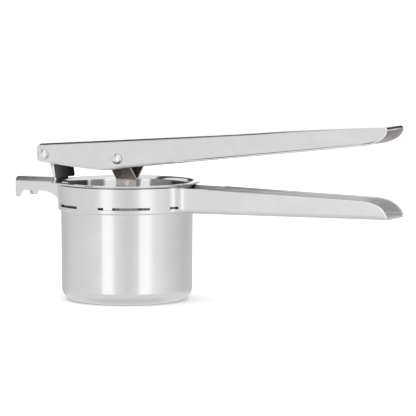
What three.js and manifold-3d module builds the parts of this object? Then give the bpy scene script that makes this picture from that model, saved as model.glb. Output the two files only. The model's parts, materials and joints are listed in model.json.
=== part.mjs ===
// Potato ricer of polished stainless sheet: a perforated basket hangs in a ring that runs out
// into the lower handle, and the upper handle presses a plunger disc down into the basket.
// Millimetres. Origin: centre of the basket's underside. +X points to the handle ends, +Z up.
import * as THREE from 'three';
import { mergeVertices } from 'three/addons/utils/BufferGeometryUtils.js';
import Module from 'manifold-3d';

const wasm = await Module();
wasm.setup();

// ---- driving dimensions ----
const GAP = 0.3;                 // air between pieces that touch on the real object
const SHEET = 1.2;               // sheet thickness of handles, ring, brackets and straps
const ROUND = 64;                // sides of the large circles

const BASKET = {
  height: 75.5, topRadius: 42, bottomRadius: 41.55, wall: 1, corner: 8.2,
  rimRadius: 46.8, rimFillet: 2,
};
const HOLES = { rings: 5, perRing: 6, pitch: 6.2, radius: 1.6, sides: 6 };

const RING = { radius: 43.7, bottom: 57.3, top: 73.4 };
// spans: degrees round the ring, from its nearest point towards the handle, on both sides
const SLOTS = { bottom: 60.2, height: 1.6, spans: [[-47, -19], [2, 46], [64, 71]] };

const LOWER = {
  halfWidth: 14.6, rootFillet: 10, tip: 182.8, rootTop: 73, tipTop: 70, tipBottom: 58.5,
  scoop: 18.8, scoopBend: 2.2, scoopHeight: 69.4,
};
const UPPER = { halfWidth: 14.8, left: -57.2, tip: 182.5, high: 114.8, tipCorner: 1.3, shoulder: 96.6 };

const POT_REST = { left: -75.3, right: -49.6, top: 76.5, halfWidth: 10, bend: 3.4 };
const BRACKET = {
  radius: 46, lean: 1.4, clear: 47.1, tongue: 8.2, wing: 13.3, wingBottom: 76.1, wingTop: 85.3,
  bottom: 60.5, earRadius: 4.7,
};

const PIVOT = { x: -52.2, z: 91.4 };      // hinge of the upper handle
const PRESS = { x: 0.2, z: 90.3 };       // hinge of the plunger in the upper handle
const RIVET = { shank: 2, hole: 2.3, head: 3.4, dome: 1.4 };

const STRAP = { width: 14, foot: 12, split: 76.6, spread: 86.6, top: 95.2 };
const DISC = { x: -1.7, bottom: 1.4, radius: 38.2, corner: 8, top: 13.4 };
const FOOT_RIVET = { shank: 1.5, hole: 1.8, head: 2.6, dome: 1, x: 4, y: 7 };
const RING_RIVET = { shank: 1.5, hole: 1.8, head: 2.6, dome: 1, degrees: 7, z: 64.3 };

// ---- geometry helpers ----
function clean(geometry) {
  const bare = geometry.clone();
  for (const name of ['normal', 'uv']) bare.deleteAttribute(name);
  return mergeVertices(bare, 1e-4);
}

/** A closed three.js geometry as a manifold solid. */
function solid(geometry) {
  const merged = clean(geometry);
  const index = merged.index.array;
  const faces = [];
  for (let i = 0; i < index.length; i += 3) {
    const [a, b, c] = index.slice(i, i + 3);
    if (a !== b && b !== c && c !== a) faces.push(a, b, c);
  }
  return new wasm.Manifold(new wasm.Mesh({
    numProp: 3,
    vertProperties: new Float32Array(merged.attributes.position.array),
    triVerts: new Uint32Array(faces),
  }));
}

function fromSolid(body) {
  const mesh = body.getMesh();
  const geometry = new THREE.BufferGeometry();
  geometry.setAttribute('position', new THREE.BufferAttribute(new Float32Array(mesh.vertProperties), 3));
  geometry.setIndex(new THREE.BufferAttribute(new Uint32Array(mesh.triVerts), 1));
  geometry.computeVertexNormals();
  return geometry;
}

/** Points of an arc from angle `from` to angle `to`, in degrees. */
function arc(cx, cy, radius, from, to, steps) {
  return Array.from({ length: steps + 1 }, (_, i) => {
    const angle = THREE.MathUtils.degToRad(from + (to - from) * i / steps);
    return [cx + radius * Math.cos(angle), cy + radius * Math.sin(angle)];
  });
}

/** Points of a quadratic curve through the corner `bend`. */
function curve(start, bend, end, steps) {
  const path = new THREE.QuadraticBezierCurve(
    new THREE.Vector2(...start), new THREE.Vector2(...bend), new THREE.Vector2(...end));
  return path.getPoints(steps).map((point) => [point.x, point.y]);
}

/** Half section of a domed head, from its edge to its middle. */
function dome(radius, height, steps) {
  const points = arc(0, 0, 1, 0, 90, steps).map(([r, z]) => [r * radius, z * height]);
  points[steps] = [0, height];
  return points;
}

function shapeOf(points) {
  return new THREE.Shape(points.map(([x, y]) => new THREE.Vector2(x, y)));
}

/** Outline in the X-Y plane, extruded from z0 to z1. */
function plan(points, z0, z1) {
  const geometry = new THREE.ExtrudeGeometry(shapeOf(points), { depth: z1 - z0, bevelEnabled: false });
  return solid(geometry.translate(0, 0, z0));
}

/** Outline in the X-Z plane, extruded from y0 to y1. */
function side(points, y0, y1) {
  const geometry = new THREE.ExtrudeGeometry(shapeOf(points), { depth: y1 - y0, bevelEnabled: false });
  return solid(geometry.rotateX(Math.PI / 2).translate(0, y1, 0));
}

/** Outline in the Y-Z plane, extruded from x0 to x1. */
function front(points, x0, x1) {
  const geometry = new THREE.ExtrudeGeometry(shapeOf(points), { depth: x1 - x0, bevelEnabled: false });
  return solid(geometry.rotateX(Math.PI / 2).rotateZ(Math.PI / 2).translate(x0, 0, 0));
}

/** Profile of [radius, y] points turned about the Y axis. */
function latheOf(points, sides) {
  return new THREE.LatheGeometry(points.map(([r, y]) => new THREE.Vector2(r, y)), sides);
}

/** Profile of [radius, z] points turned about the Z axis. */
function turned(points, sides) {
  return solid(latheOf(points, sides).rotateX(Math.PI / 2));
}

/** A round bar along Z, for cutting holes. */
function bar(radius, z0, z1, sides, x = 0, y = 0) {
  const geometry = new THREE.CylinderGeometry(radius, radius, z1 - z0, sides);
  return solid(geometry.rotateX(Math.PI / 2).translate(x, y, (z0 + z1) / 2));
}

/** A round bar along Y through [x, z], for cutting holes. */
function crossBar(radius, y0, y1, sides, { x, z }) {
  const geometry = new THREE.CylinderGeometry(radius, radius, y1 - y0, sides);
  return solid(geometry.translate(x, (y0 + y1) / 2, z));
}

const CUT = 80;    // half-length of a cutting tool that passes right through

/** The part of space behind the ring and within `half` of the middle. */
function pivotSide(half) {
  return plan([[-CUT, -half], [0, -half], [0, half], [-CUT, half]], 0, 2 * CUT);
}

// ---- basket ----
function basket() {
  const { height, topRadius, bottomRadius, wall, corner, rimRadius, rimFillet } = BASKET;
  const flat = bottomRadius - corner;
  const rimCentre = topRadius + rimFillet;
  const underRim = height - wall;
  const profile = [
    [0, 0],
    ...arc(flat, corner, corner, -90, 0, 5),
    ...arc(rimCentre, underRim - rimFillet, rimFillet, 180, 90, 3),
    [rimRadius - 0.4, underRim],
    [rimRadius, underRim + wall / 2],
    [rimRadius - 0.4, height],
    ...arc(rimCentre, height - rimFillet - wall, rimFillet + wall, 90, 180, 3),
    ...arc(flat, corner, corner - wall, 0, -90, 5),
    [0, wall],
  ];
  let body = turned(profile, ROUND);
  for (let ring = 1; ring <= HOLES.rings; ring += 1) {
    const count = HOLES.perRing * ring;
    for (let i = 0; i < count; i += 1) {
      const angle = (i + ring / 2) * 2 * Math.PI / count;
      const x = ring * HOLES.pitch * Math.cos(angle);
      const y = ring * HOLES.pitch * Math.sin(angle);
      body = body.subtract(bar(HOLES.radius, -1, wall + 1, HOLES.sides, x, y));
    }
  }
  return body;
}

// ---- ring and lower handle, one pressing ----
/** Ring of the given radius that flows through a fillet into two parallel handle walls. */
function ringAndHandle(radius, halfWidth, fillet, tip) {
  const reach = radius + fillet;
  const across = halfWidth + fillet;
  const along = Math.sqrt(reach ** 2 - across ** 2);
  const lean = THREE.MathUtils.radToDeg(Math.atan2(across, along));
  return [
    [tip, halfWidth],
    ...arc(along, across, fillet, 270, 180 + lean, 4),
    ...arc(0, 0, radius, lean + 5, 355 - lean, 52),
    ...arc(along, -across, fillet, 180 - lean, 90, 4),
    [tip, -halfWidth],
  ];
}

function lowerFrame() {
  const { halfWidth, rootFillet, tip, rootTop, tipTop, tipBottom, scoop, scoopBend, scoopHeight } = LOWER;
  const outer = ringAndHandle(RING.radius, halfWidth, rootFillet, tip);
  const inner = ringAndHandle(RING.radius - SHEET, halfWidth - SHEET, rootFillet + SHEET, tip + CUT);
  const walls = plan(outer, 0, CUT).subtract(plan(inner, -1, CUT + 1));
  const webLine = [[-CUT, RING.bottom], [RING.radius, RING.bottom], [tip + 1, tipBottom]];
  const webTop = webLine.map(([x, z]) => [x, z + SHEET]).reverse();
  const web = side([...webLine, ...webTop], -CUT, CUT)
    .intersect(plan(outer, 0, CUT))
    .subtract(bar(BASKET.topRadius + GAP, 0, CUT, ROUND));
  const sideView = side([
    ...webLine,
    ...curve([tip, tipBottom + 0.2], [tip - scoopBend, scoopHeight], [tip - scoop, tipTop], 8),
    [63, rootTop],
    [40, RING.top],
    [-CUT, RING.top],
  ], -CUT, CUT);
  let body = walls.add(web).intersect(sideView);
  for (const mirror of [1, -1]) {
    for (const [from, to] of SLOTS.spans) {
      const low = -90 + from;
      const high = -90 + to;
      const slot = [...arc(0, 0, RING.radius + 3, low, high, 5), ...arc(0, 0, RING.radius - 3, high, low, 5)]
        .map(([x, y]) => [x, y * mirror]);
      if (mirror < 0) slot.reverse();
      body = body.subtract(plan(slot, SLOTS.bottom, SLOTS.bottom + SLOTS.height));
    }
  }
  for (const place of bracketRivetPlaces()) {
    body = body.subtract(placedAtRing(ringHole(), place));
  }
  return body;
}

// ---- pot rest: inverted channel with teeth that hook over a pot's edge ----
function potRest() {
  const { left, right, top, halfWidth, bend } = POT_REST;
  const channel = (half, height, radius) => [
    [half, 0],
    ...arc(half - radius, height - radius, radius, 0, 90, 4),
    ...arc(radius - half, height - radius, radius, 90, 180, 4),
    [-half, 0],
  ];
  const past = 4 - RING.radius;    // a little inside the ring, where the channel is cut off
  const outer = front(channel(halfWidth, top, bend), left, past);
  const inner = front(channel(halfWidth - SHEET, top - SHEET, bend - SHEET), left - 5, past + 5);
  const flange = side([
    [left, 65.2],
    ...arc(left + 2, 65.2, 2, 180, 330, 5),
    ...curve([left + 5, 66.3], [left + 5.8, 67.8], [left + 7.6, 67.8], 3),
    [-62.7, 67.8],
    ...arc(-60.7, 66.2, 1.2, 180, 360, 4),
    [-58.3, 67.8],
    ...curve([-56, 67.8], [-48, 67.4], [-44.6, 63.6], 5),
    [-44.2, RING.top - 0.6],
    [right, RING.top - 0.6],
    [right, top + 1],
    [left, top + 1],
  ], -CUT, CUT);
  return outer.subtract(inner).intersect(flange)
    .subtract(bar(RING.radius + GAP, 0, CUT, ROUND));
}

// ---- pivot bracket: curved plate behind the rim, tongue down to the ring, two ears ----
function pivotBracket() {
  const { radius, lean, clear, tongue, wing, wingBottom, wingTop, bottom, earRadius } = BRACKET;
  const inner = RING.radius + GAP;
  const middle = turned([
    [inner, bottom], [inner + SHEET, bottom], [inner + SHEET, 68.4], [clear + SHEET, 71.5],
    [clear + SHEET, 76.7], [radius + SHEET, 78.8], [radius + 0.6, 78.3], [clear, 75.8],
    [clear, 72], [inner, 68.9], [inner, bottom],
  ], ROUND).intersect(pivotSide(tongue));
  const wings = turned([
    [radius, wingBottom], [radius + SHEET, wingBottom], [radius + lean + SHEET, wingTop],
    [radius + lean, wingTop], [radius, wingBottom],
  ], ROUND).intersect(pivotSide(wing));
  const ear = [
    ...arc(PIVOT.x, PIVOT.z, earRadius, 10, 260, 11),
    [-48.4, wingTop + 0.8], [-46, wingBottom + 0.9], [-45.2, wingBottom + 0.9], [-46.9, wingTop - 0.4],
  ];
  const outerFace = UPPER.halfWidth - SHEET - GAP;
  let body = middle.add(wings);
  for (const face of [outerFace, -outerFace + SHEET]) {
    body = body.add(side(ear, face - SHEET, face));
  }
  body = body.subtract(crossBar(RIVET.hole, -CUT, CUT, 12, PIVOT));
  for (const place of bracketRivetPlaces()) {
    body = body.subtract(placedAtRing(ringHole(), place));
  }
  return body;
}

// ---- rivets that hold the bracket to the ring ----
function ringHole() {
  return new THREE.CylinderGeometry(RING_RIVET.hole, RING_RIVET.hole, 12, 10).rotateX(Math.PI / 2);
}

/** The near place and the far place, behind the ring. */
function bracketRivetPlaces() {
  return [RING_RIVET.degrees, -RING_RIVET.degrees].map((degrees) => ({ degrees, z: RING_RIVET.z }));
}

/** A geometry built along Z from the ring's face, turned to point out of the ring at a place. */
function placedAtRing(geometry, { degrees, z }) {
  geometry.rotateY(-Math.PI / 2);
  geometry.translate(-RING.radius, 0, 0);
  geometry.rotateZ(THREE.MathUtils.degToRad(degrees));
  geometry.translate(0, 0, z);
  return solid(geometry);
}

function bracketRivet(place) {
  const { shank, head, dome: rise } = RING_RIVET;
  const inside = 0.15 - SHEET;
  const face = GAP + SHEET + GAP;
  const top = dome(head, rise, 2).map(([r, y]) => [r, y + face]);
  const profile = [[0, inside], [shank, inside], [shank, face], ...top];
  return placedAtRing(latheOf(profile, 10).rotateX(Math.PI / 2), place);
}

// ---- upper handle: inverted channel that tapers to its scooped end ----
function upperHandle() {
  const { halfWidth, left, tip, high, tipCorner, shoulder } = UPPER;
  const tipEnd = high - tipCorner;
  const top = [
    [tip, tipEnd], [tip - tipCorner, high], [124, 111.4], [84, 108],
    [-0.5, 102], [-52.5, 98.5], [-55.2, 98.2], [left, shoulder],
  ];
  const outline = [
    ...top,
    ...curve([left, 90], [-56.9, 87], [-52.4, 86.5], 4),
    [-46.5, 86],
    [-33, 84.6],
    ...curve([-17, 83.1], [-6, 82.3], [7, 85], 5),
    [84, 93.9],
    [124, 98.4],
    ...curve([163.5, 103.2], [180.6, 104.3], [tip, tipEnd], 8).slice(0, -1),
  ];
  const hollow = [
    ...top.map(([x, z]) => [x, z - SHEET]),
    [left - CUT, shoulder - SHEET],
    [left - CUT, 60],
    [tip + CUT, 60],
    [tip + CUT, tipEnd - SHEET],
  ];
  const inside = halfWidth - SHEET;
  return side(outline.reverse(), -halfWidth, halfWidth)
    .subtract(side(hollow.reverse(), -inside, inside))
    .subtract(crossBar(RIVET.hole, -CUT, CUT, 12, PIVOT))
    .subtract(crossBar(RIVET.hole, -CUT, CUT, 12, PRESS));
}

/** Rivet across the upper handle at a hinge, with a domed head outside each wall. */
function handleRivet({ x, z }) {
  const face = UPPER.halfWidth + GAP;
  const head = dome(RIVET.head, RIVET.dome, 3).map(([r, y]) => [r, y + face]);
  const upperHalf = [[RIVET.shank, face], ...head];
  const lowerHalf = upperHalf.map(([r, y]) => [r, -y]).reverse();
  return solid(latheOf([...lowerHalf, ...upperHalf], 14).translate(x, 0, z));
}

// ---- plunger ----
/** Strap on the near (-1) or far (+1) side: foot on the disc, stem, splay and ear. */
function strap(sign) {
  const ear = UPPER.halfWidth - SHEET - GAP;
  const stem = GAP / 2;
  const foot = DISC.bottom + SHEET + GAP;
  const outline = [
    [stem, foot], [STRAP.foot, foot], [STRAP.foot, foot + SHEET], [stem + SHEET, foot + SHEET],
    [stem + SHEET, STRAP.split], [ear, STRAP.spread], [ear, STRAP.top],
    [ear - SHEET, STRAP.top], [ear - SHEET, STRAP.spread + 0.5], [stem, STRAP.split + 0.5],
  ].map(([y, z]) => [sign * y, z]);
  if (sign < 0) outline.reverse();
  const half = STRAP.width / 2;
  const round = [
    [PRESS.x - half, 0],
    [PRESS.x + half, 0],
    ...arc(PRESS.x, STRAP.top - half, half, 0, 180, 8),
  ];
  let body = front(outline, PRESS.x - half, PRESS.x + half)
    .intersect(side(round, -CUT, CUT))
    .subtract(crossBar(RIVET.hole, -CUT, CUT, 12, PRESS));
  for (const place of footRivetPlaces()) {
    body = body.subtract(bar(FOOT_RIVET.hole, 0, 20, 8, place.x, place.y));
  }
  return body;
}

function footRivetPlaces() {
  return [[-1, -1], [1, -1], [-1, 1], [1, 1]].map(([i, j]) => ({
    x: PRESS.x + i * FOOT_RIVET.x,
    y: j * FOOT_RIVET.y,
  }));
}

function footRivet({ x, y }) {
  const low = DISC.bottom + 0.1;
  const face = DISC.bottom + SHEET + GAP + SHEET + GAP;
  const top = dome(FOOT_RIVET.head, FOOT_RIVET.dome, 2).map(([r, z]) => [r, z + face]);
  const profile = [[0, low], [FOOT_RIVET.shank, low], [FOOT_RIVET.shank, face], ...top];
  return turned(profile, 8).translate([x, y, 0]);
}

function plungerDisc() {
  const { x, bottom, radius, corner, top } = DISC;
  const flat = radius - corner;
  const centre = bottom + corner;
  const profile = [
    [0, bottom],
    ...arc(flat, centre, corner, -90, 0, 5),
    [radius, top],
    [radius - SHEET, top],
    ...arc(flat, centre, corner - SHEET, 0, -90, 5),
    [0, bottom + SHEET],
  ];
  let body = turned(profile, 48).translate([x, 0, 0]);
  for (const place of footRivetPlaces()) {
    body = body.subtract(bar(FOOT_RIVET.hole, 0, 20, 8, place.x, place.y));
  }
  return body;
}

// ---- assembly ----
const LOOKS = {
  polished: { color: 0xd4d4d6, roughness: 0.12, metalness: 1 },
  satin: { color: 0xc4c3c4, roughness: 0.28, metalness: 1 },
  rivet: { color: 0xdadadc, roughness: 0.1, metalness: 1 },
};

const ricer = new THREE.Group();

function addPiece(name, body, look) {
  const mesh = new THREE.Mesh(fromSolid(body), new THREE.MeshStandardMaterial(LOOKS[look]));
  mesh.name = name;
  ricer.add(mesh);
}

addPiece('basket', basket(), 'polished');
addPiece('lower_frame', lowerFrame(), 'polished');
addPiece('pot_rest', potRest(), 'polished');
addPiece('pivot_bracket', pivotBracket(), 'polished');
const [nearPlace, farPlace] = bracketRivetPlaces();
addPiece('bracket_rivet_near', bracketRivet(nearPlace), 'rivet');
addPiece('bracket_rivet_far', bracketRivet(farPlace), 'rivet');
addPiece('upper_handle', upperHandle(), 'polished');
addPiece('pivot_rivet', handleRivet(PIVOT), 'rivet');
addPiece('plunger_rivet', handleRivet(PRESS), 'rivet');
addPiece('plunger_strap_near', strap(-1), 'satin');
addPiece('plunger_strap_far', strap(1), 'satin');
addPiece('plunger_disc', plungerDisc(), 'satin');
footRivetPlaces().forEach((place, i) => {
  addPiece(`foot_rivet_${i + 1}`, footRivet(place), 'rivet');
});

export default ricer;
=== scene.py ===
"""Potato ricer of polished stainless sheet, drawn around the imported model.

A perforated basket hangs in a ring that runs out into the lower handle. The upper handle turns
on a bracket behind the rim and pushes a disc down the basket. +X points to the handle ends.
"""
import json
import math

import bmesh
import bpy
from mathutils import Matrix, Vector


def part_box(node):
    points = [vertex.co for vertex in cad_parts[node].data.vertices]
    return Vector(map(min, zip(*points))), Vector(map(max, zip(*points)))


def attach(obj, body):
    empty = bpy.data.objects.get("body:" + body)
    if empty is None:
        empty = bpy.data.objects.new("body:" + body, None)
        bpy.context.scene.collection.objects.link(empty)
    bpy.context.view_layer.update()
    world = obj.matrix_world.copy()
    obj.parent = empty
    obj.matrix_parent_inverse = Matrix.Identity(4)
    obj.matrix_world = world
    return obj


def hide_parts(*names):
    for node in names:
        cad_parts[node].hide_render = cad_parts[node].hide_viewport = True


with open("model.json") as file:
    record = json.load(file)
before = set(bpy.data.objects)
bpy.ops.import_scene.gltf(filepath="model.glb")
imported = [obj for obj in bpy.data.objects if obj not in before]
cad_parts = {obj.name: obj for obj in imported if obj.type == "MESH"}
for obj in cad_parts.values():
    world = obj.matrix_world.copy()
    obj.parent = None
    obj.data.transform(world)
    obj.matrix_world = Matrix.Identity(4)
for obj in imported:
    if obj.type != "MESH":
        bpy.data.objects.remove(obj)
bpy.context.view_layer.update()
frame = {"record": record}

MM = 0.001


def millimetres(node):
    """Lowest and highest corner of a node, in millimetres."""
    low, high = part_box(node)
    return [v / MM for v in low], [v / MM for v in high]


def joint_place(name):
    """X and Z of a hinge, in millimetres."""
    joint = next(j for j in frame["record"]["behaviour"]["joints"] if j["name"] == name)
    return joint["pos_m"][0] / MM, joint["pos_m"][2] / MM


# ---- places and sizes taken from the frame ----
_, BASKET_HIGH = millimetres("basket")
FRAME_LOW, FRAME_HIGH = millimetres("lower_frame")
UPPER_LOW, UPPER_HIGH = millimetres("upper_handle")
REST_LOW, REST_HIGH = millimetres("pot_rest")
BRACKET_LOW, BRACKET_HIGH = millimetres("pivot_bracket")
STRAP_LOW, STRAP_HIGH = millimetres("plunger_strap_far")
DISC_LOW, DISC_HIGH = millimetres("plunger_disc")
PIVOT = joint_place("handle_pivot")
PRESS = joint_place("plunger_swing")

# ---- sizes of the sheet metal, in millimetres ----
SHEET = 1.2
GAP = 0.3
EDGE = 0.22  # rounding of a cut edge
BEND_MARGIN = 0.4  # flat strip beside a round corner, which keeps the shading clean

RIM_RADIUS = BASKET_HIGH[0]
RIM_REACH = 4.8  # from the wall's top out to the rim's edge
RIM_FILLET = 2.0
HEIGHT = BASKET_HIGH[2]
WALL = 1.0
TOP_RADIUS = RIM_RADIUS - RIM_REACH
BOTTOM_RADIUS = TOP_RADIUS - 0.45
CORNER = 8.2
HOLE_RINGS = 5
HOLES_PER_RING = 6
HOLE_PITCH = 6.2
HOLE_RADIUS = 1.6

RING_RADIUS = FRAME_HIGH[1]
RING_BOTTOM = FRAME_LOW[2]
RING_TOP = FRAME_HIGH[2]
LIP_RADIUS = TOP_RADIUS + 0.25  # inner edge of the ring's bottom lip
LIP_BEND = 1.0
SLOT_LOW = RING_BOTTOM + 2.9
SLOT_HIGH = SLOT_LOW + 1.6
SLOT_SPANS = [(-47, -19), (2, 46), (64, 71)]
SLOT_END = (SLOT_HIGH - SLOT_LOW) / 2  # radius of a slot's ends
SLOT_STRETCH = 1.1  # path length per ring length where a slot runs on into the fillet

LOWER_HALF = 14.6
LOWER_TIP = FRAME_HIGH[0] - 0.02
ROOT_FILLET = 10.0
ROOT_ACROSS = LOWER_HALF + ROOT_FILLET
ROOT_ALONG = math.sqrt((RING_RADIUS + ROOT_FILLET) ** 2 - ROOT_ACROSS ** 2)
ROOT_LEAN = math.atan2(ROOT_ACROSS, ROOT_ALONG)
ROOT_ARC = (math.pi / 2 - ROOT_LEAN) * ROOT_FILLET
UPPER_HALF = UPPER_HIGH[1]
WEB_PARTS = (0.1, 0.5, 1.0)  # rows of points across half a channel's web


# ---- mesh helpers ----
def arc(cx, cy, radius, start, end, steps):
    """Points of an arc, angles in degrees."""
    turn = [math.radians(start + (end - start) * i / steps) for i in range(steps + 1)]
    return [(cx + radius * math.cos(t), cy + radius * math.sin(t)) for t in turn]


def curve(start, bend, end, steps):
    """Points of a quadratic curve drawn towards the corner `bend`."""
    points = []
    for i in range(steps + 1):
        t = i / steps
        a, b, c = (1 - t) ** 2, 2 * t * (1 - t), t * t
        points.append(tuple(a * p + b * q + c * r for p, q, r in zip(start, bend, end)))
    return points


def smooth_line(points, x):
    """Height at x of a smooth line through points in order of x."""
    if x <= points[0][0]:
        return points[0][1]
    if x >= points[-1][0]:
        return points[-1][1]
    i = next(k for k in range(1, len(points)) if x <= points[k][0])
    (x0, z0), (x1, z1) = points[i - 1], points[i]
    before = points[max(i - 2, 0)]
    after = points[min(i + 1, len(points) - 1)]
    slope0 = (z1 - before[1]) / (x1 - before[0])
    slope1 = (after[1] - z0) / (after[0] - x0)
    t = (x - x0) / (x1 - x0)
    h = x1 - x0
    return ((2 * t ** 3 - 3 * t ** 2 + 1) * z0 + (t ** 3 - 2 * t ** 2 + t) * h * slope0
            + (3 * t ** 2 - 2 * t ** 3) * z1 + (t ** 3 - t ** 2) * h * slope1)


def spread(start, end, step):
    """Even places from start to end, about `step` apart."""
    count = max(1, round(abs(end - start) / step))
    return [start + (end - start) * i / count for i in range(count + 1)]


def mesh_object(name, points, faces):
    """Smooth-shaded object from points in millimetres."""
    mesh = bpy.data.meshes.new(name)
    mesh.from_pydata([Vector(p) * MM for p in points], [], faces)
    mesh.validate()
    mesh.polygons.foreach_set("use_smooth", [True] * len(mesh.polygons))
    obj = bpy.data.objects.new(name, mesh)
    bpy.context.scene.collection.objects.link(obj)
    return obj


def weld(obj, distance=0.01):
    """Merges near points and turns the faces outwards."""
    work = bmesh.new()
    work.from_mesh(obj.data)
    bmesh.ops.remove_doubles(work, verts=work.verts, dist=distance * MM)
    bmesh.ops.dissolve_degenerate(work, edges=work.edges, dist=0.0005 * MM)
    loose = [v for v in work.verts if not v.link_faces]
    bmesh.ops.delete(work, geom=loose, context="VERTS")
    bmesh.ops.recalc_face_normals(work, faces=work.faces)
    work.to_mesh(obj.data)
    work.free()


def move_points(obj, place):
    """Moves every point to where `place` puts it, in metres."""
    for vertex in obj.data.vertices:
        x, y, z = vertex.co
        vertex.co = place(x, y, z)
    weld(obj, 0.001)


def grid_object(name, rows, skip=lambda i, j: False):
    """Sheet through rows of points, without the faces in `skip`."""
    width = len(rows[0])
    points = [p for row in rows for p in row]
    faces = []
    for i in range(len(rows) - 1):
        for j in range(width - 1):
            if not skip(i, j):
                a = i * width + j
                faces.append((a, a + 1, a + width + 1, a + width))
    obj = mesh_object(name, points, faces)
    weld(obj)
    return obj


def channel_sheet(name, rows, skip=lambda i, j: False):
    """Full width of a channel from its near half."""
    full = [row + [(x, -y, z) for x, y, z in reversed(row[:-1])] for row in rows]
    return grid_object(name, full, skip)


def face_towards(obj, target):
    """Turns a sheet's faces so that the nearest one looks at the target."""
    spot = Vector(target) * MM
    near = min(obj.data.polygons, key=lambda f: (f.center - spot).length)
    if near.normal.dot(spot - near.center) < 0:
        obj.data.flip_normals()


def face_inwards(obj):
    """Turns a sheet's faces to the upright axis; its thickness lies outside."""
    spot = obj.data.polygons[0]
    away = Vector((spot.center.x, spot.center.y, 0))
    if spot.normal.dot(away) > 0:
        obj.data.flip_normals()


def apply_modifiers(obj):
    """Replaces the mesh by what its modifiers make of it."""
    graph = bpy.context.evaluated_depsgraph_get()
    mesh = bpy.data.meshes.new_from_object(obj.evaluated_get(graph))
    obj.modifiers.clear()
    old = obj.data
    obj.data = mesh
    bpy.data.meshes.remove(old)


def thicken(obj, thickness=SHEET):
    """Gives a sheet its thickness, with the second material behind it."""
    shell = obj.modifiers.new("thickness", "SOLIDIFY")
    shell.thickness = thickness * MM
    shell.offset = -1
    shell.material_offset = 1
    shell.material_offset_rim = 0


def soften(obj, width=EDGE, segments=2, angle=50):
    """Rounds the edges that turn by more than `angle` degrees."""
    bevel = obj.modifiers.new("edges", "BEVEL")
    bevel.width = width * MM
    bevel.segments = segments
    bevel.limit_method = "ANGLE"
    bevel.angle_limit = math.radians(angle)
    bevel.harden_normals = True
    bevel.use_clamp_overlap = True
    bevel.miter_outer = "MITER_ARC"


def boolean(obj, tool, operation):
    """Joins or cuts the object with the tool and removes the tool."""
    step = obj.modifiers.new("cut", "BOOLEAN")
    step.operation = operation
    step.object = tool
    step.solver = "EXACT"
    apply_modifiers(obj)
    bpy.data.objects.remove(tool)


def lathe_object(name, profile, sides, centre=(0, 0)):
    """Closed profile of (radius, z) points turned about a vertical axis."""
    points, faces = [], []
    count = len(profile)
    for i in range(sides):
        turn = 2 * math.pi * i / sides
        out = math.cos(turn), math.sin(turn)
        points += [(centre[0] + r * out[0], centre[1] + r * out[1], z) for r, z in profile]
    for i in range(sides):
        k = (i + 1) % sides
        for j in range(count - 1):
            corner = i * count + j, k * count + j
            faces.append((corner[0], corner[1], corner[1] + 1, corner[0] + 1))
    obj = mesh_object(name, points, faces)
    weld(obj, 0.001)
    return obj


def prism(name, outline, low, high):
    """Outline of X-Z points extruded along Y."""
    count = len(outline)
    points = [(x, y, z) for y in (low, high) for x, z in outline]
    faces = [tuple(range(count)), tuple(range(2 * count - 1, count - 1, -1))]
    faces += [(i, i + count, (i + 1) % count + count, (i + 1) % count) for i in range(count)]
    obj = mesh_object(name, points, faces)
    weld(obj, 0.001)
    return obj


def half_section(depth, half, bend, wall, bend_steps, web):
    """Half of a U section: (offset from the middle, depth) from the wall's free edge to the web.

    `wall` holds fractions of the straight wall from its free edge down, `web` fractions of the
    flat web from the bend to the middle. A wall cut lower than the bend keeps the same count.
    """
    turned = bend * math.pi / 2
    tall = max(depth, bend + 0.5)
    stops = [turned + f * (tall - bend) for f in wall]
    stops += [turned * (1 - (i + 1) / bend_steps) for i in range(bend_steps)]
    full = turned + tall - bend
    kept = turned + depth - bend if depth >= bend else bend * math.acos(1 - depth / bend)
    points = []
    for stop in stops:
        s = stop * kept / full
        if s < turned:
            t = s / bend
            points.append((half - bend + bend * math.sin(t), bend - bend * math.cos(t)))
        else:
            points.append((half, bend + s - turned))
    points += [((half - bend) * (1 - f), 0.0) for f in web]
    return points


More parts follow.
